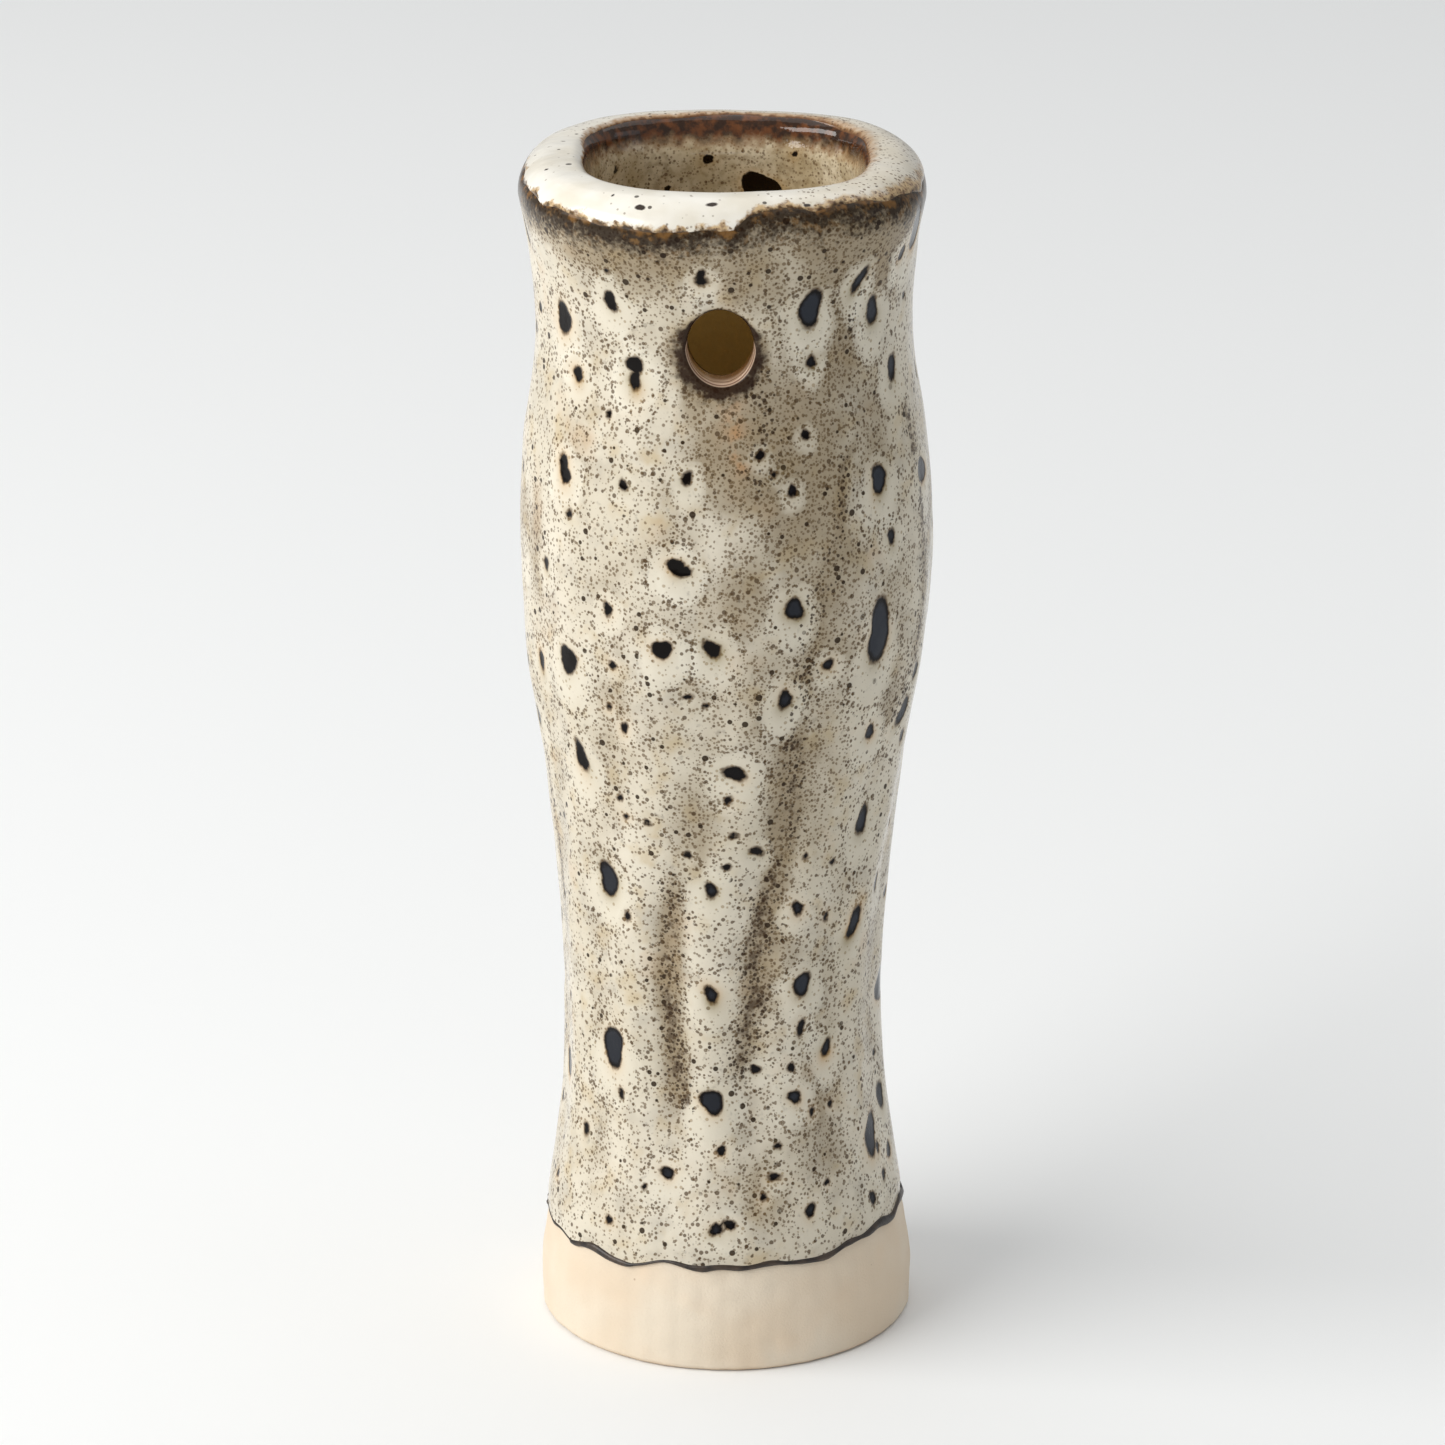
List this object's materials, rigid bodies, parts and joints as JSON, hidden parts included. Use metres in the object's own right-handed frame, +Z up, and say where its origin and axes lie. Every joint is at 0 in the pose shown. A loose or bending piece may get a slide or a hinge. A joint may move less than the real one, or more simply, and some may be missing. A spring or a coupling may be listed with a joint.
{
  "type": "stoneware vase",
  "caption": "Tall hand-made stoneware vase with a gently waisted body, thick rolled lip, cream iron-speckled glaze, bare clay foot and a round hole through the front of the neck.",
  "frame": {"origin": "the middle of the flat underside of the foot, on the surface the vase stands on", "axes": "+Z up along the vase's height, the hole in the neck faces -Y, +X to the right seen from the front"},
  "size_m": [0.064, 0.064, 0.19],
  "materials": {
    "bare_clay": "unglazed buff stoneware, dry and slightly grainy",
    "speckled_glaze": "glossy cream glaze with brown and black iron speckle",
    "lip_glaze": "thick glossy near-white glaze that breaks brown at its edges",
    "liner_glaze": "glossy olive-cream glaze with fine brown freckles",
    "bore_glaze": "glossy pinkish cream glaze, dark brown where thin",
    "iron_line": "thin dark fired line along the edge of the glaze"
  },
  "bodies": {
    "root": {"base_slab": "bare_clay", "body_wall": "bare_clay", "rim_coil": "bare_clay", "outer_glaze": "speckled_glaze", "rim_glaze": "lip_glaze", "inner_glaze": "liner_glaze", "hole_glaze": "bore_glaze", "glaze_edge": "iron_line"}
  },
  "joints": []
}
